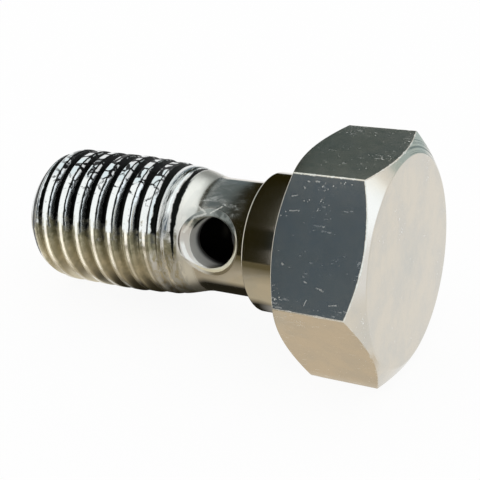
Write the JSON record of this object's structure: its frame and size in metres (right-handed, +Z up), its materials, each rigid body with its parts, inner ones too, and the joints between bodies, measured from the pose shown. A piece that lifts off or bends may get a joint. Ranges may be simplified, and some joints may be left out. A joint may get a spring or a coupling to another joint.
{
  "type": "banjo bolt",
  "caption": "Hexagon-headed hollow bolt whose drilled waist passes fluid from its bore into a hose eye clamped under the head.",
  "frame": {"origin": "bottom centre of the bounding box of the bolt as it lies, on the surface it rests on", "axes": "+X runs level from the threaded end towards the head, +Z is up, and the bolt's own axis rises 6.9 degrees from +X"},
  "size_m": [0.042, 0.0242, 0.0219],
  "materials": {
    "plated_steel": "bright zinc or nickel plate, lightly scratched"
  },
  "bodies": {
    "root": {"banjo_bolt": "plated_steel"}
  },
  "joints": []
}
